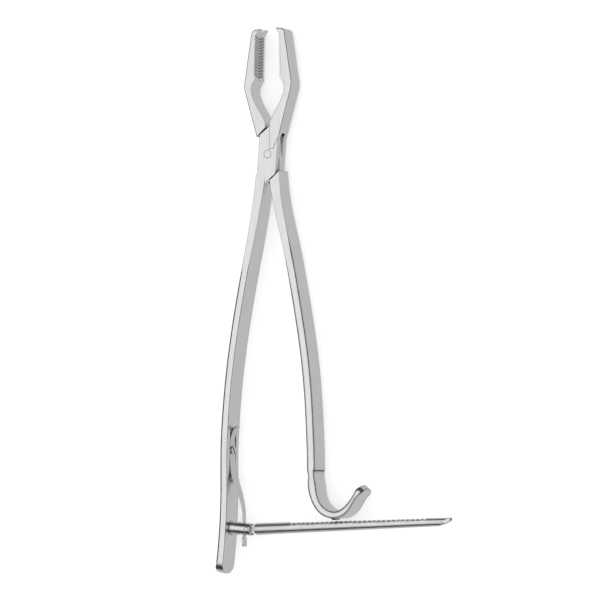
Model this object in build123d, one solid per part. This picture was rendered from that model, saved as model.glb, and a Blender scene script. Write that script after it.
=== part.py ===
from build123d import *
import math
import os

# Bone holding forceps: a box lock joins two mirrored arms, and a toothed swing bar
# on the left handle locks under the hook that ends the right handle.
# The forceps lie flat: X runs across, +Y towards the jaws, Z through their depth.
# All outlines are drawn round the box lock's axis and moved to the origin at the end.

# Jaws, drawn for the right arm
jaw_reach = 76.9
jaw_depth = 11.0
jaw_root = (8.3, 12.5)
jaw_widest_corner = (17.0, 41.5)
jaw_bend_radius = 13.0
jaw_top_corner = (11.4, jaw_reach - 0.5)
jaw_top_radius = 3.2
beak_tip = (5.3, jaw_reach)
beak_hollow = (7.1, jaw_reach - 2.0)
tooth_row_top = (7.9, jaw_reach - 4.2)
tooth_row_foot = (8.75, 46.0)
window_widest = (11.4, 41.5)
window_waist = (8.5, 31.0)
window_foot = (1.5, 18.4)
jaw_edge_round = 0.9
cut_overlap = 1.0

# Jaw teeth: two rows of slanted ridges with a groove between them
jaw_tooth_pitch = 1.79
jaw_tooth_depth = 1.0
jaw_tooth_land = 0.15
jaw_tooth_slant = 18.0
tooth_groove_width = 1.7
tooth_groove_depth = 1.1
tooth_groove_mouth = 0.2

# Box lock
box_width = 12.8
box_depth = 10.4
box_lean = 4.5
box_length = 44.0
shoulder_reach = 13.1
shoulder_angle = 35.0
slot_reach = 14.9
tongue_depth = 3.5
tongue_inset = 0.3
running_gap = 0.05
shoulder_gap = 0.15
closing_limit = 5.5
opening_limit = 16.5
sweep_steps = 6
box_pin_diameter = 5.0
pin_running_gap = 0.03
seat_gap = 0.01

# Handles, drawn for the right arm as a centre line with a D section
handle_depth = 14.0
handle_thickness = 5.3
handle_root_thickness = 6.7
box_handle_line = [
    (6.0, -22.0), (11.5, -52.0), (19.1, -88.0), (25.1, -123.0), (29.1, -160.0), (30.2, -192.0),
]
tongue_handle_line = [
    (5.9, -22.0), (13.1, -52.0), (20.6, -88.0), (26.5, -123.0), (29.9, -160.0), (31.0, -192.0),
]
depth_grows_over = 60.0
root_shrinks_over = 34.0
handle_station_count = 10
handle_edge_round = 1.7
handle_inner_round = 0.6
box_handle_root = (4.8, -12.0)
tongue_handle_root = (4.6, -8.0)
tongue_shoulder_thickness = 7.2

# Lower end of the left handle, drawn on the right side and mirrored
tail_line = [(30.1, -211.0), (31.5, -233.0), (33.8, -253.2)]

# Hook at the end of the right handle
hook_line = [(31.9, -203.0), (34.5, -211.0), (39.3, -215.9), (46.4, -218.2), (53.0, -215.9), (59.0, -209.8)]
hook_tip = (65.2, -201.6)
hook_tip_direction = (0.7, 0.72)
hook_thickness = 4.5
hook_tip_thickness = 2.6
hook_section_count = 8
pawl_place = 44.8
pawl_height = 1.3
pawl_width = 2.6
pawl_gap = 0.65

# Ratchet stud: a round fork on the left handle's inner face
stud_diameter = 7.6
stud_length = 14.9
stud_tilt = -4.75
stud_tenon_diameter = 4.2
stud_tenon_length = 2.9
tenon_end_gap = 0.2
stud_chamfer = 0.4
stud_seat_margin = 0.6
stud_seat_reach = 6.0
stud_end = (-13.45, -226.9)
fork_slot_width = 3.0
fork_slot_length = 9.0

# Ratchet bar, drawn along +X from its pin
bar_pin_diameter = 2.4
bar_pin_setback = 2.35
bar_pin_recess = 0.02
bar_length = 138.2
bar_slope = 1.9
bar_root_radius = 3.6
bar_end_radius = 2.45
bar_shoulder = 5.15
bar_shoulder_chamfer = 0.5
bar_tongue_radius = 2.7
bar_tooth_pitch = 3.22
bar_tooth_depth = 1.35
bar_tooth_land = 0.35
bar_tooth_rake = 0.15
bar_tooth_count = 29
bar_teeth_start = 28.6
bar_flat_depth = 0.3
bar_boat_length = 20.0
bar_boat_middle = (6.5, -1.75)
bar_tip_thickness = 1.5
bar_nose_length = 8.0
bar_nose_widening = 1.08

# Leaf spring and its screw
spring_thickness = 0.8
spring_width = 6.4
spring_top_width = 4.6
spring_neck_width = 2.7
spring_tail_width = 4.4
spring_seat = -28.3
spring_seat_top = -173.5
spring_seat_foot = -182.0
spring_recess_top = -166.0
spring_recess_foot = -197.0
spring_top = (-23.4, -164.0)
spring_neck_top = -218.0
spring_tail_top = -231.4
spring_tail_foot = -237.0
spring_heel_gap = 0.4
spring_top_direction = (-0.55, -0.85)
spring_neck_lean = 0.06
spring_tail_lean = 0.3
spring_taper_start = 12.0
spring_tail_round = 1.2
spring_side_gap = 0.3
screw_height = -178.7
screw_head_diameter = 5.2
screw_head_height = 0.9
screw_shank_diameter = 2.6
screw_length = 3.6
screw_slot_width = 0.8
screw_slot_depth = 0.45
screw_slot_turn = 35.0


def plate(outline, depth):
    """A flat outline given its depth, half to each side of the middle plane."""
    return extrude(outline, depth / 2, both=True)


def between(start, end, share):
    """A smooth change from start to end while share goes from 0 to 1."""
    share = min(max(share, 0.0), 1.0)
    return start + (end - start) * share * share * (3 - 2 * share)


def edges_along(shape, lines):
    """The front and rear edges of a plate that run along the given outline curves."""
    found = []
    for edge in shape.edges():
        middle = edge @ 0.5
        foot = Vector(middle.X, middle.Y, 0)
        if abs(middle.Z) > 0.01 and any(line.distance_to(foot) < 0.01 for line in lines):
            found.append(edge)
    return found


def jaw():
    """The right jaw: beak, toothed face, window edge and bowed back."""
    back = FilletPolyline(jaw_root, jaw_widest_corner, jaw_top_corner, beak_tip,
                          radius=[jaw_bend_radius, jaw_top_radius])
    beak = ThreePointArc(beak_tip, beak_hollow, tooth_row_top)
    tooth_face = Line(tooth_row_top, tooth_row_foot)
    window = Spline(tooth_row_foot, window_widest, window_waist, window_foot)
    foot = Polyline(window_foot, (window_foot[0], box_width / 4), (jaw_root[0] / 2, box_width / 4), jaw_root)
    outline = Face(Wire([*back.edges(), *beak.edges(), *tooth_face.edges(), *window.edges(), *foot.edges()]))
    blank = plate(outline, jaw_depth)
    blank = fillet(edges_along(blank, [back]), jaw_edge_round)
    return blank - jaw_tooth_cuts()


def jaw_tooth_cuts():
    """Slanted notches either side of a lengthwise groove, which parts the beak into two tips."""
    top = Vector(*tooth_row_top)
    along = (Vector(*tooth_row_foot) - top).normalized()
    inward = Vector(-along.Y, along.X, 0)
    row_length = (Vector(*tooth_row_foot) - top).length
    count = int(row_length / jaw_tooth_pitch)
    half_mouth = (jaw_tooth_pitch - jaw_tooth_land) / 2 * (1 + tooth_groove_mouth / jaw_tooth_depth)
    slant = math.tan(math.radians(jaw_tooth_slant))
    sweep = jaw_depth / 2 / math.cos(math.radians(jaw_tooth_slant)) + cut_overlap
    cuts = []
    for number in range(count):
        middle = top + along * (jaw_tooth_pitch * (number + 0.5) + slant * jaw_depth / 4)
        notch = Polygon(
            tuple(middle - along * half_mouth - inward * tooth_groove_mouth)[:2],
            tuple(middle + along * half_mouth - inward * tooth_groove_mouth)[:2],
            tuple(middle + inward * jaw_tooth_depth)[:2],
            align=None,
        )
        for side in (1, -1):
            lean = Vector(0, 0, side) - along * slant
            cuts.append(extrude(notch, sweep, dir=lean))
    groove_plane = Plane(origin=top - along * cut_overlap, x_dir=inward, z_dir=along)
    groove = groove_plane * Polygon(
        (-tooth_groove_mouth, -tooth_groove_width / 2),
        (tooth_groove_depth, 0),
        (-tooth_groove_mouth, tooth_groove_width / 2),
        align=None,
    )
    cuts.append(extrude(groove, row_length + cut_overlap))
    overhang = tooth_row_top[0] - beak_tip[0] + cut_overlap
    opening = (tooth_groove_depth + overhang) / (tooth_groove_depth + tooth_groove_mouth) * tooth_groove_width
    beak_groove = groove_plane * Polygon(
        (-overhang, -opening / 2),
        (tooth_groove_depth, 0),
        (-overhang, opening / 2),
        align=None,
    )
    cuts.append(extrude(beak_groove, -2 * jaw_top_radius))
    return cuts


def lock_block(grow=0.0):
    """Outline of the box lock: a leaning strap cut by its two slanted shoulders."""
    strap = Rot(0, 0, -box_lean) * Rectangle(box_width + 2 * grow, box_length)
    shoulders = Rot(0, 0, shoulder_angle) * Rectangle(3 * box_length, 2 * (shoulder_reach + grow))
    return strap & shoulders


def sideways(shape):
    """Turns a drawing made with X along the forceps and Y through their depth into its place."""
    return Plane(origin=(0, 0, 0), x_dir=(0, 1, 0), z_dir=(1, 0, 0)) * shape


def handle(line, root_thickness, tangents=None):
    """A bowed handle on the right side: a strap with a rounded outer side, thinned at the box lock.

    The tangents set both sides' end directions, where another piece carries the strap on.
    """
    inner = []
    outer = []
    for number in range(handle_station_count + 1):
        share = number / handle_station_count
        thickness = between(root_thickness, handle_thickness, share * line.length / root_shrinks_over)
        direction = line % share
        half_across = Vector(-direction.Y, direction.X, 0) * thickness / 2
        outer.append(line @ share + half_across)
        inner.append(line @ share - half_across)
    outer_side = Spline(*outer, tangents=tangents)
    inner_side = Spline(*inner, tangents=tangents)
    outline = Face(Wire([*outer_side.edges(), Edge.make_line(outer[-1], inner[-1]),
                         *inner_side.edges(), Edge.make_line(inner[0], outer[0])]))
    strap = plate(outline, handle_depth)
    strap = fillet(edges_along(strap, [outer_side]), handle_edge_round)
    strap = fillet(edges_along(strap, [inner_side]), handle_inner_round)
    top = (line @ 0).Y
    slope = (handle_depth - box_depth) / 2 / depth_grows_over
    thinning = Polygon(
        (top + box_length, box_depth / 2 - slope * box_length),
        (top - depth_grows_over, handle_depth / 2),
        (top - depth_grows_over, handle_depth),
        (top + box_length, handle_depth),
        align=None,
    )
    cut = extrude(sideways(thinning), 4 * box_length, both=True)
    return strap - cut - mirror(cut, about=Plane.XY)


def d_section(point, direction, thickness):
    """Section of the hook: flat inner face, flat front and rear, and a rounded outer side."""
    slimness = thickness / handle_thickness
    edge_round = handle_edge_round * slimness
    inner_round = handle_inner_round * slimness
    half = handle_depth / 2
    inner = -thickness / 2
    outer = thickness / 2
    inner_corner = inner_round * (1 - math.sqrt(0.5))
    outer_corner = edge_round * (1 - math.sqrt(0.5))
    side = []
    for end in (1, -1):
        side.append(Edge.make_three_point_arc(
            (inner, end * (half - inner_round)), (inner + inner_corner, end * (half - inner_corner)),
            (inner + inner_round, end * half)))
        side.append(Edge.make_line((inner + inner_round, end * half), (outer - edge_round, end * half)))
        side.append(Edge.make_three_point_arc(
            (outer - edge_round, end * half), (outer - outer_corner, end * (half - outer_corner)),
            (outer, end * (half - edge_round))))
    side.append(Edge.make_line((inner, inner_round - half), (inner, half - inner_round)))
    side.append(Edge.make_line((outer, edge_round - half), (outer, half - edge_round)))
    outward = Vector(-direction.Y, direction.X, 0)
    return Plane(origin=point, x_dir=outward, z_dir=direction) * Face(Wire(side))


def hook():
    """The right handle's lower end, bent outwards into a hook with a knife edge beneath."""
    start = Spline(tongue_handle_root, *tongue_handle_line) % 1
    line = Spline(tongue_handle_line[-1], *hook_line, hook_tip, tangents=[start, hook_tip_direction])
    sections = []
    for number in range(hook_section_count + 1):
        share = number / hook_section_count
        thickness = between(handle_thickness, hook_thickness, share * 2)
        thickness -= between(0.0, hook_thickness - hook_tip_thickness, share * 2 - 1)
        sections.append(d_section(line @ share, line % share, thickness))
    return loft(sections) - end_rounding(line)


def end_rounding(line):
    """What is cut off a strap's end so that it ends in a half round, seen on its flat."""
    radius = handle_depth / 2
    direction = line % 1
    plane = Plane(origin=line @ 1, x_dir=(0, 0, 1), z_dir=Vector(-direction.Y, direction.X, 0))
    blank = Pos(0, radius) * Rectangle(4 * radius, 2 * radius) - Circle(radius)
    return plane * Pos(0, -radius) * extrude(blank, 2 * radius, both=True)


def pawl():
    """The knife edge under the hook, which drops into the ratchet bar's teeth."""
    bottom = pawl_bottom()
    blade = Polygon(
        (bottom.X - pawl_width, bottom.Y + 2 * pawl_height),
        (bottom.X - pawl_width, bottom.Y + pawl_height),
        (bottom.X, bottom.Y),
        (bottom.X + pawl_width / 2, bottom.Y + pawl_height),
        (bottom.X + pawl_width / 2, bottom.Y + 2 * pawl_height),
        align=None,
    )
    return plate(blade, handle_depth - 4 * handle_edge_round)


def bar_radius(reach):
    """Radius of the ratchet bar at a distance from its pin."""
    return bar_root_radius + (bar_end_radius - bar_root_radius) * reach / bar_length


def bar_crest(reach):
    """Height of the teeth's crests above the bar's axis at a distance from its pin."""
    return bar_radius(reach) - bar_flat_depth


def bar_pin_place():
    """Centre of the bar's pin: on the stud's axis, set back from the fork's open end."""
    turn = math.radians(stud_tilt)
    return Vector(*stud_end) - Vector(math.cos(turn), math.sin(turn)) * bar_pin_setback


def pawl_bottom():
    """Tip of the knife edge: just clear of the teeth's crests at rest."""
    turn = math.radians(bar_slope)
    pin = bar_pin_place()
    reach = (pawl_place - pin.X) / math.cos(turn)
    height = bar_crest(reach) + pawl_gap
    return Vector(pin.X + reach * math.cos(turn) - height * math.sin(turn),
                  pin.Y + reach * math.sin(turn) + height * math.cos(turn))


def shoulder_half(turn, reach, side):
    """Everything on one side of a slanted shoulder line, as a cutting block."""
    size = 6 * box_length
    block = Pos(0, side * (reach + size / 2)) * Rectangle(size, size)
    return plate(Rot(0, 0, turn) * block, 2 * handle_depth)


def stud_place():
    """Frame of the stud: origin at its open end, Z along its axis away from the handle."""
    turn = math.radians(stud_tilt)
    return Plane(origin=(*stud_end, 0), x_dir=(0, 0, 1), z_dir=(math.cos(turn), math.sin(turn), 0))


def make_box_arm():
    """Right jaw, box lock and left handle in one forging."""
    right_side_line = Spline(box_handle_root, *box_handle_line, *tail_line)
    lower = handle(right_side_line, handle_root_thickness)
    lower -= end_rounding(right_side_line)
    arm = plate(lock_block(), box_depth) + jaw() + mirror(lower, about=Plane.YZ)
    slot = mirror(Rot(0, 0, shoulder_angle) * Rectangle(3 * box_length, 2 * slot_reach), about=Plane.YZ)
    for step in range(sweep_steps + 1):
        angle = (closing_limit + opening_limit) * step / sweep_steps - closing_limit
        slot += Rot(0, 0, angle) * mirror(lock_block(shoulder_gap - tongue_inset), about=Plane.YZ)
    arm -= plate(slot, tongue_depth + 2 * running_gap)
    arm -= Cylinder(box_pin_diameter / 2 + seat_gap, 2 * box_depth)
    place = stud_place()
    seat = Cylinder(stud_diameter / 2 + stud_seat_margin, stud_seat_reach)
    arm -= place * Pos(0, 0, -stud_length + stud_seat_reach / 2) * seat
    tenon_hole = Cylinder(stud_tenon_diameter / 2 + seat_gap, 2 * (stud_tenon_length + tenon_end_gap))
    arm -= place * Pos(0, 0, -stud_length) * tenon_hole
    recess_height = spring_recess_top - spring_recess_foot
    recess_middle = (spring_recess_top + spring_recess_foot) / 2
    recess = Box(2 * handle_thickness, recess_height, spring_width + 2 * spring_side_gap)
    arm -= Pos(spring_seat + handle_thickness, recess_middle, 0) * recess
    shank = Rot(0, 90, 0) * Cylinder(screw_shank_diameter / 2 + seat_gap, 2 * screw_length)
    arm -= Pos(spring_seat, screw_height, 0) * shank
    return arm


def make_tongue_arm():
    """Left jaw, thinned tongue and right handle with its hook, in one forging."""
    turn = shoulder_angle + closing_limit
    reach = shoulder_reach + shoulder_gap
    upper = mirror(jaw(), about=Plane.YZ) & shoulder_half(turn, reach, 1)
    handle_line = Spline(tongue_handle_root, *tongue_handle_line)
    strap = handle(handle_line, tongue_shoulder_thickness, [handle_line % 0, handle_line % 1])
    lower = strap & shoulder_half(turn, reach, -1)
    tongue = plate(mirror(lock_block(-tongue_inset), about=Plane.YZ), tongue_depth)
    arm = upper + lower + tongue + hook() + pawl()
    return arm - Cylinder(box_pin_diameter / 2 + pin_running_gap, 2 * box_depth)


def make_box_pin():
    """Rivet of the box lock, flush with both cheeks."""
    return Cylinder(box_pin_diameter / 2, box_depth)


def make_ratchet_stud():
    """Round stud with a tenon into the handle and a fork for the ratchet bar."""
    stud = Pos(0, 0, -stud_length / 2) * Cylinder(stud_diameter / 2, stud_length)
    stud = chamfer(stud.edges().group_by(Axis.Z)[-1], stud_chamfer)
    tenon = Cylinder(stud_tenon_diameter / 2, stud_tenon_length)
    stud += Pos(0, 0, -stud_length - stud_tenon_length / 2) * tenon
    stud -= Pos(0, 0, -fork_slot_length / 2) * Box(fork_slot_width, 2 * stud_diameter, fork_slot_length)
    bore = Cylinder(bar_pin_diameter / 2 + pin_running_gap, 2 * stud_diameter)
    stud -= Pos(0, 0, -bar_pin_setback) * Rot(0, 90, 0) * bore
    return stud_place() * stud


def make_ratchet_pin():
    """Cross pin that carries the ratchet bar in the fork."""
    pin = bar_pin_place()
    body = Pos(pin.X, pin.Y, 0) * Cylinder(bar_pin_diameter / 2, stud_diameter)
    return body & stud_place() * Cylinder(stud_diameter / 2 - bar_pin_recess, 2 * stud_length)


def make_ratchet_bar():
    """Tapered round bar with a flat tongue at its root and saw teeth along its top."""
    outline = Face(Wire([
        Edge.make_line((bar_shoulder, 0), (bar_shoulder, bar_radius(bar_shoulder))),
        Edge.make_line((bar_shoulder, bar_radius(bar_shoulder)), (bar_length, bar_radius(bar_length))),
        Edge.make_line((bar_length, bar_radius(bar_length)), (bar_length, 0)),
        Edge.make_line((bar_length, 0), (bar_shoulder, 0)),
    ]))
    bar = revolve(outline, Axis.X)
    bar = chamfer(bar.edges().group_by(Axis.X)[0], bar_shoulder_chamfer)
    tongue = Pos(bar_shoulder, 0) * Rectangle(2 * bar_shoulder, 2 * bar_tongue_radius)
    tongue += Circle(bar_tongue_radius)
    bar += plate(tongue, fork_slot_width - 2 * pin_running_gap)
    bar -= bar_tooth_cuts()
    facet_start = bar_teeth_start + bar_tooth_pitch * bar_tooth_count + bar_tooth_land
    facet_end = bar_length + cut_overlap
    cut_top = bar_root_radius + cut_overlap
    facet = Polygon((facet_start, bar_crest(facet_start)), (facet_end, bar_crest(bar_length)),
                    (facet_end, cut_top), (facet_start, cut_top), align=None)
    bar -= plate(facet, 4 * bar_root_radius)
    boat_start = (bar_length - bar_boat_length, -bar_root_radius)
    boat_middle = (bar_length - bar_boat_middle[0], bar_boat_middle[1])
    boat_end = (bar_length, bar_crest(bar_length) - bar_tip_thickness)
    boat_corner = (bar_length + cut_overlap, -2 * bar_root_radius)
    boat = Face(Wire([
        Edge.make_three_point_arc(boat_start, boat_middle, boat_end),
        Edge.make_line(boat_end, boat_corner),
        Edge.make_line(boat_corner, boat_start),
    ]))
    bar -= plate(boat, 4 * bar_root_radius)
    nose_start = bar_length - bar_nose_length
    nose_width = bar_radius(nose_start) * bar_nose_widening
    nose = Pos(nose_start + bar_nose_length, 0) * Rectangle(2 * bar_nose_length, 4 * bar_root_radius)
    nose -= Pos(nose_start, 0) * Ellipse(bar_nose_length, nose_width)
    bar -= Plane.XZ * plate(nose, 4 * bar_root_radius)
    bar -= Cylinder(bar_pin_diameter / 2 + pin_running_gap, 2 * stud_diameter)
    pin = bar_pin_place()
    return Pos(pin.X, pin.Y, 0) * Rot(0, 0, bar_slope) * bar


def bar_tooth_cuts():
    """Saw notches: steep on the hand's side, sloping away towards the bar's tip."""
    cuts = []
    for number in range(bar_tooth_count):
        crest = bar_teeth_start + bar_tooth_pitch * number
        foot = crest + bar_tooth_pitch
        notch = Polygon(
            (crest + bar_tooth_land, bar_crest(crest)),
            (foot - bar_tooth_rake, bar_crest(foot) - bar_tooth_depth),
            (foot, bar_crest(foot)),
            (foot, bar_root_radius + cut_overlap),
            (crest, bar_root_radius + cut_overlap),
            (crest, bar_crest(crest)),
            align=None,
        )
        cuts.append(plate(notch, 4 * bar_root_radius))
    return cuts


def make_leaf_spring():
    """Leaf spring: screwed to the handle, its neck bearing on the bar's heel in the fork."""
    middle = spring_seat + spring_thickness / 2
    pin = bar_pin_place()
    neck = pin.X - bar_tongue_radius - spring_heel_gap - spring_thickness / 2
    line = Spline(spring_top, (middle, spring_seat_top), tangents=[spring_top_direction, (0, -1)])
    line += Line((middle, spring_seat_top), (middle, spring_seat_foot))
    line += Spline((middle, spring_seat_foot), (neck, spring_neck_top),
                   tangents=[(0, -1), (spring_neck_lean, -1)])
    line += Line((neck, spring_neck_top), (neck + spring_tail_lean, spring_tail_foot))
    strip = extrude(trace(line, line_width=spring_thickness), spring_width / 2, both=True)
    top_round = Pos(spring_top[1] - spring_top_width / 2, 0) * Circle(spring_top_width / 2)
    taper_top = spring_seat_foot - spring_taper_start
    upper = Polygon(
        (spring_top[1] - spring_top_width / 2, spring_top_width / 2),
        (screw_height, spring_width / 2),
        (taper_top, spring_width / 2),
        (spring_neck_top, spring_neck_width / 2),
        (spring_tail_top, spring_neck_width / 2),
        (spring_tail_top, -spring_neck_width / 2),
        (spring_neck_top, -spring_neck_width / 2),
        (taper_top, -spring_width / 2),
        (screw_height, -spring_width / 2),
        (spring_top[1] - spring_top_width / 2, -spring_top_width / 2),
        align=None,
    )
    tail_length = spring_tail_top - spring_tail_foot
    tail = RectangleRounded(tail_length, spring_tail_width, spring_tail_round)
    tail = Pos(spring_tail_top - tail_length / 2, 0) * tail
    silhouette = extrude(sideways(top_round + upper + tail), 2 * abs(spring_seat), both=True)
    hole = Cylinder(screw_shank_diameter / 2 + seat_gap, 4 * spring_thickness)
    hole = Pos(middle, screw_height, 0) * Rot(0, 90, 0) * hole
    return (strip & silhouette) - hole


def make_spring_screw():
    """Slotted screw that holds the leaf spring to the handle."""
    head = Pos(0, 0, screw_head_height / 2) * Cylinder(screw_head_diameter / 2, screw_head_height)
    head = chamfer(head.edges().group_by(Axis.Z)[-1], screw_head_height / 3)
    slot = Rot(0, 0, screw_slot_turn) * Box(2 * screw_head_diameter, screw_slot_width, 2 * screw_slot_depth)
    screw = head - Pos(0, 0, screw_head_height) * slot
    shank_length = screw_length + spring_thickness
    screw += Pos(0, 0, -shank_length / 2) * Cylinder(screw_shank_diameter / 2, shank_length)
    place = Plane(origin=(spring_seat + spring_thickness, screw_height, 0), x_dir=(0, 1, 0), z_dir=(1, 0, 0))
    return place * screw


def main():
    nodes = {
        "box_arm": make_box_arm(),
        "tongue_arm": make_tongue_arm(),
        "box_pin": make_box_pin(),
        "ratchet_stud": make_ratchet_stud(),
        "ratchet_pin": make_ratchet_pin(),
        "ratchet_bar": make_ratchet_bar(),
        "leaf_spring": make_leaf_spring(),
        "spring_screw": make_spring_screw(),
    }
    size = Compound(children=[Compound(shape.solids()) for shape in nodes.values()]).bounding_box()
    origin = Vector((size.min.X + size.max.X) / 2, (size.min.Y + size.max.Y) / 2, size.min.Z)
    os.makedirs("parts", exist_ok=True)
    for name, shape in nodes.items():
        solids = [Pos(-origin) * solid for solid in shape.solids()]
        export_step(solids[0] if len(solids) == 1 else Compound(solids), f"parts/{name}.step")
    pin = bar_pin_place() - origin
    print("box lock axis", -origin, "bar pin axis", pin, "whole size", size.size)


main()
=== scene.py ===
import bpy
import math
from mathutils import Matrix, Vector

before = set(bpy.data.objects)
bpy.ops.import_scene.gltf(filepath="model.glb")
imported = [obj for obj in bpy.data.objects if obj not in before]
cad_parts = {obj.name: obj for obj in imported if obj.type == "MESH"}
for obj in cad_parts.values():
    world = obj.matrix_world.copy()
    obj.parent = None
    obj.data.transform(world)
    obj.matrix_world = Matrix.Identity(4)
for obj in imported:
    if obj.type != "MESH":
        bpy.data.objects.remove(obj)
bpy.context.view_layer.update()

# Camera: beside the front of the forceps and a little towards the handles' ends
view_turn = math.radians(30.0)
view_drop = math.radians(4.0)
camera_distance = 2.0
camera_aim = Vector((-0.0233, -0.0007, 0.007))
camera_nearest = 0.1
camera_farthest = 20.0
picture_width = 600
focal_pixels = 3322.3
sensor_width = 36.0

# Studio, in metres and in units of light
white = (1.0, 1.0, 1.0, 1.0)
floor_colour = (0.86, 0.86, 0.86, 1.0)
floor_half_size = 4.0
floor_lift = 0.5
world_fill = 0.8
world_shown = 1.0
key_power = 0.12
key_size = 0.9
key_distance = 1.5
key_direction = Vector((-0.5, 0.07, 0.86))
wall_radius = 1.2
wall_sides = 48
wall_foot = -0.05
wall_dark_to = 0.8
wall_top = 1.5
wall_dark = 0.03
wall_light = 1.0
under_lift = 0.0004
under_half_size = 0.6
under_glow = 0.62

# Steel: tones and roughness
satin_tone = (0.77, 0.77, 0.775)
polished_tone = (0.78, 0.78, 0.785)
spring_tone = (0.72, 0.72, 0.73)
pin_tone = (0.76, 0.76, 0.765)
satin_roughness = 0.24
bar_roughness = 0.32
roughness_fall = 0.05
roughness_rise = 0.07

# Steel: grinding lines, stretched along one axis, and faint clouding
along_x = 0
along_y = 1
along_z = 2
grain_along = 60.0
grain_across = 2600.0
grain_detail = 3.0
grain_low = 0.3
grain_high = 0.7
grain_strength = 0.12
grain_depth = 0.00005
cloud_scale = 70.0
cloud_detail = 4.0
cloud_dark = 0.94
cloud_light = 1.04

# Steel: painted shade on edges and in recesses
shading_samples = 8
sharp_edge = 0.0004
soft_edge = 0.0022
soft_from = 0.035
soft_to = -0.005
edge_lean = 0.9
edge_shade = 0.5
bar_edge_shade = 0.8
recess_reach = 0.003
recess_closed = 0.2
recess_open = 0.75
recess_shade = 0.12
bar_recess_shade = 0.4


def new_material(name):
    """An empty node material and its output."""
    material = bpy.data.materials.new(name)
    material.use_nodes = True
    material.node_tree.nodes.clear()
    output = material.node_tree.nodes.new("ShaderNodeOutputMaterial")
    return material, output


def remap(tree, value, span, result, smooth=False):
    """Carries a value from one span over to another, held at the ends."""
    node = tree.nodes.new("ShaderNodeMapRange")
    if smooth:
        node.interpolation_type = "SMOOTHSTEP"
    for name, number in zip(("From Min", "From Max", "To Min", "To Max"), (*span, *result)):
        node.inputs[name].default_value = number
    tree.links.new(value, node.inputs["Value"])
    return node.outputs["Result"]


def combine(tree, operation, first, second):
    """Two values brought together by a math operation."""
    node = tree.nodes.new("ShaderNodeMath")
    node.operation = operation
    tree.links.new(first, node.inputs[0])
    tree.links.new(second, node.inputs[1])
    return node.outputs["Value"]


def noise(tree, place, scale, detail):
    """A noise value at a place."""
    node = tree.nodes.new("ShaderNodeTexNoise")
    node.inputs["Scale"].default_value = scale
    node.inputs["Detail"].default_value = detail
    tree.links.new(place, node.inputs["Vector"])
    return node.outputs["Fac"]


def object_place(tree):
    """The place on the object, in its own coordinates."""
    return tree.nodes.new("ShaderNodeTexCoord").outputs["Object"]


def object_coordinate(tree, axis):
    """One coordinate of the place on the object."""
    split = tree.nodes.new("ShaderNodeSeparateXYZ")
    tree.links.new(object_place(tree), split.inputs["Vector"])
    return split.outputs[axis]


def grinding_lines(tree, grain_axis):
    """Fine lines along one axis."""
    stretch = tree.nodes.new("ShaderNodeMapping")
    scales = [grain_across] * 3
    scales[grain_axis] = grain_along
    stretch.inputs["Scale"].default_value = scales
    tree.links.new(object_place(tree), stretch.inputs["Vector"])
    return noise(tree, stretch.outputs["Vector"], 1.0, grain_detail)


def rounded_normal(tree, lower_edge):
    """The surface direction with softened edges, from sharp at the jaws to lower_edge at the lower end."""
    turned = tree.nodes.new("ShaderNodeBevel")
    turned.samples = shading_samples
    height = object_coordinate(tree, "Y")
    radius = remap(tree, height, (soft_to, soft_from), (lower_edge, sharp_edge), smooth=True)
    tree.links.new(radius, turned.inputs["Radius"])
    return turned.outputs["Normal"]


def painted_edge_shade_factor(tree, rounded_direction, painted_edge_dark):
    """Painted shade along edges: darker where the softened direction leans away from the flat face."""
    flat = tree.nodes.new("ShaderNodeNewGeometry")
    lean = tree.nodes.new("ShaderNodeVectorMath")
    lean.operation = "DOT_PRODUCT"
    tree.links.new(flat.outputs["Normal"], lean.inputs[0])
    tree.links.new(rounded_direction, lean.inputs[1])
    return remap(tree, lean.outputs["Value"], (edge_lean, 1.0), (painted_edge_dark, 1.0))


def painted_recess_shade_factor(tree, painted_recess_dark):
    """Painted shade in recesses: darker where other surfaces stand close."""
    recess = tree.nodes.new("ShaderNodeAmbientOcclusion")
    recess.samples = shading_samples
    recess.inputs["Distance"].default_value = recess_reach
    return remap(tree, recess.outputs["AO"], (recess_closed, recess_open), (painted_recess_dark, 1.0))


def steel(name, tone, roughness, grain_axis, lower_edge=sharp_edge, painted_edge_dark=edge_shade,
          painted_recess_dark=recess_shade):
    """Satin steel: fine grinding lines along one axis, faint random clouding, and painted shade on edges
    and in recesses.
    """
    material, output = new_material(name)
    tree = material.node_tree
    grain = grinding_lines(tree, grain_axis)
    rounded_direction = rounded_normal(tree, lower_edge)
    bump = tree.nodes.new("ShaderNodeBump")
    bump.inputs["Strength"].default_value = grain_strength
    bump.inputs["Distance"].default_value = grain_depth
    tree.links.new(grain, bump.inputs["Height"])
    tree.links.new(rounded_direction, bump.inputs["Normal"])

    cloud = noise(tree, object_place(tree), cloud_scale, cloud_detail)
    mottle = remap(tree, cloud, (0.0, 1.0), (cloud_dark, cloud_light))
    # Painted shade on edges and in recesses, times faint random clouding of the tone, scales the steel's
    # colour.
    shadow = combine(tree, "MULTIPLY", painted_recess_shade_factor(tree, painted_recess_dark), mottle)
    shadow = combine(tree, "MULTIPLY", shadow, painted_edge_shade_factor(tree, rounded_direction, painted_edge_dark))
    colour = tree.nodes.new("ShaderNodeVectorMath")
    colour.operation = "SCALE"
    colour.inputs[0].default_value = tone
    tree.links.new(shadow, colour.inputs["Scale"])

    metal = tree.nodes.new("ShaderNodeBsdfPrincipled")
    metal.inputs["Metallic"].default_value = 1.0
    spread = (roughness - roughness_fall, roughness + roughness_rise)
    tree.links.new(remap(tree, grain, (grain_low, grain_high), spread), metal.inputs["Roughness"])
    tree.links.new(colour.outputs["Vector"], metal.inputs["Base Color"])
    tree.links.new(bump.outputs["Normal"], metal.inputs["Normal"])
    tree.links.new(metal.outputs["BSDF"], output.inputs["Surface"])
    return material


def dress(node, material):
    """Gives a CAD node its material."""
    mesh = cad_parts[node].data
    mesh.materials.clear()
    mesh.materials.append(material)


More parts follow.
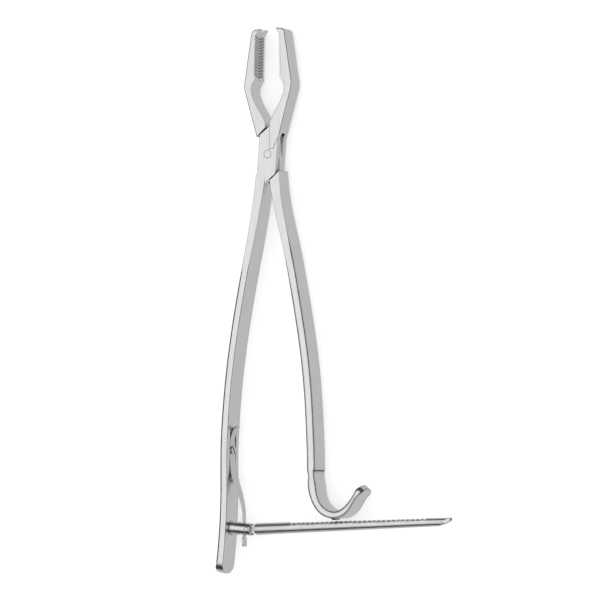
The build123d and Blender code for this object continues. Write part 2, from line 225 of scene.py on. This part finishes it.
def sees_background(tree):
    """A factor that is 1 for the rays that show the background: seen, mirrored or passed through."""
    path = tree.nodes.new("ShaderNodeLightPath")
    seen = combine(tree, "MAXIMUM", path.outputs["Is Camera Ray"], path.outputs["Is Glossy Ray"])
    return combine(tree, "MAXIMUM", seen, path.outputs["Is Transmission Ray"])


def level_sheet(name, height, half_size, material):
    """A flat square sheet that faces up."""
    mesh = bpy.data.meshes.new(name)
    corners = [(-half_size, -half_size, 0), (half_size, -half_size, 0),
               (half_size, half_size, 0), (-half_size, half_size, 0)]
    mesh.from_pydata(corners, [], [(0, 1, 2, 3)])
    mesh.materials.append(material)
    sheet = bpy.data.objects.new(name, mesh)
    sheet.location = (0, 0, height)
    bpy.context.scene.collection.objects.link(sheet)
    return sheet


def make_floor():
    """Pale floor that keeps the shadow and reads as white where nothing shades it."""
    material, output = new_material("floor_white")
    nodes = material.node_tree.nodes
    link = material.node_tree.links.new
    matt = nodes.new("ShaderNodeBsdfDiffuse")
    matt.inputs["Color"].default_value = floor_colour
    lift = nodes.new("ShaderNodeEmission")
    lift.inputs["Color"].default_value = white
    lift.inputs["Strength"].default_value = floor_lift
    lifted = nodes.new("ShaderNodeAddShader")
    link(matt.outputs["BSDF"], lifted.inputs[0])
    link(lift.outputs["Emission"], lifted.inputs[1])
    choose = nodes.new("ShaderNodeMixShader")
    link(sees_background(material.node_tree), choose.inputs["Fac"])
    link(matt.outputs["BSDF"], choose.inputs[1])
    link(lifted.outputs["Shader"], choose.inputs[2])
    link(choose.outputs["Shader"], output.inputs["Surface"])
    level_sheet("floor", 0, floor_half_size, material)


def make_world():
    """Even white surroundings, a little darker as a light than as a background."""
    world = bpy.data.worlds.new("studio")
    bpy.context.scene.world = world
    world.use_nodes = True
    tree = world.node_tree
    tree.nodes.clear()
    output = tree.nodes.new("ShaderNodeOutputWorld")
    choose = tree.nodes.new("ShaderNodeMixShader")
    tree.links.new(sees_background(tree), choose.inputs["Fac"])
    for socket, strength in ((1, world_fill), (2, world_shown)):
        glow = tree.nodes.new("ShaderNodeBackground")
        glow.inputs["Color"].default_value = white
        glow.inputs["Strength"].default_value = strength
        tree.links.new(glow.outputs["Background"], choose.inputs[socket])
    tree.links.new(choose.outputs["Shader"], output.inputs["Surface"])


def make_key_lamp():
    """Large soft lamp over the forceps' left side."""
    light = bpy.data.lights.new("key", "AREA")
    light.shape = "DISK"
    light.size = key_size
    light.energy = key_power
    lamp = bpy.data.objects.new("key", light)
    direction = key_direction.normalized()
    lamp.location = direction * key_distance
    lamp.rotation_mode = "QUATERNION"
    lamp.rotation_quaternion = direction.to_track_quat("Z", "Y")
    bpy.context.scene.collection.objects.link(lamp)


def wall_shape():
    """Corners and sides of an upright round wall."""
    corners = []
    sides = []
    for number in range(wall_sides):
        turn = 2 * math.pi * number / wall_sides
        for height in (wall_foot, wall_top):
            corners.append((wall_radius * math.cos(turn), wall_radius * math.sin(turn), height))
        near = 2 * number
        far = 2 * ((number + 1) % wall_sides)
        sides.append((near, far, far + 1, near + 1))
    return corners, sides


def make_wall():
    """Wall round the forceps, dark below and white above, which only reflections show."""
    material, output = new_material("wall_dark")
    tree = material.node_tree
    glow = tree.nodes.new("ShaderNodeEmission")
    height = object_coordinate(tree, "Z")
    fade = remap(tree, height, (wall_dark_to, wall_top), (wall_dark, wall_light), smooth=True)
    tree.links.new(fade, glow.inputs["Strength"])
    tree.links.new(glow.outputs["Emission"], output.inputs["Surface"])
    corners, sides = wall_shape()
    mesh = bpy.data.meshes.new("wall")
    mesh.from_pydata(corners, [], sides)
    mesh.materials.append(material)
    wall = bpy.data.objects.new("wall", mesh)
    bpy.context.scene.collection.objects.link(wall)
    hide_but_mirror(wall)


def make_under_sheet():
    """Grey sheet under the forceps, which only reflections show: it greys their side faces."""
    material, output = new_material("sheet_grey")
    glow = material.node_tree.nodes.new("ShaderNodeEmission")
    glow.inputs["Strength"].default_value = under_glow
    material.node_tree.links.new(glow.outputs["Emission"], output.inputs["Surface"])
    hide_but_mirror(level_sheet("under_sheet", under_lift, under_half_size, material))


def hide_but_mirror(item):
    """Makes a studio card show in reflections alone."""
    item.visible_camera = False
    item.visible_diffuse = False
    item.visible_shadow = False


def make_camera():
    """Camera at the photograph's viewing angle."""
    side = Vector((math.cos(view_turn), 0.0, -math.sin(view_turn)))
    back = Vector((math.sin(view_turn) * math.cos(view_drop), -math.sin(view_drop),
                   math.cos(view_turn) * math.cos(view_drop)))
    up = back.cross(side)
    lens = bpy.data.cameras.new("camera")
    lens.sensor_width = sensor_width
    lens.lens = focal_pixels / picture_width * sensor_width
    lens.clip_start = camera_nearest
    lens.clip_end = camera_farthest
    camera = bpy.data.objects.new("camera", lens)
    turn = Matrix((side, up, back)).transposed().to_4x4()
    camera.matrix_world = Matrix.Translation(camera_aim + back * camera_distance) @ turn
    bpy.context.scene.collection.objects.link(camera)
    bpy.context.scene.camera = camera


satin = steel("satin_steel", satin_tone, satin_roughness, along_y)
rounded = steel("rounded_steel", satin_tone, satin_roughness, along_y, soft_edge)
polished = steel("polished_steel", polished_tone, bar_roughness, along_x,
                 painted_edge_dark=bar_edge_shade, painted_recess_dark=bar_recess_shade)
spring = steel("spring_steel", spring_tone, satin_roughness, along_y)
pins = steel("pin_steel", pin_tone, satin_roughness, along_z)
coats = {
    "box_arm": satin,
    "tongue_arm": rounded,
    "ratchet_stud": satin,
    "ratchet_bar": polished,
    "leaf_spring": spring,
    "box_pin": pins,
    "ratchet_pin": pins,
    "spring_screw": pins,
}
for node_name, coat in coats.items():
    dress(node_name, coat)

make_floor()
make_world()
make_key_lamp()
make_wall()
make_under_sheet()
make_camera()
bpy.context.scene.view_settings.view_transform = "Standard"
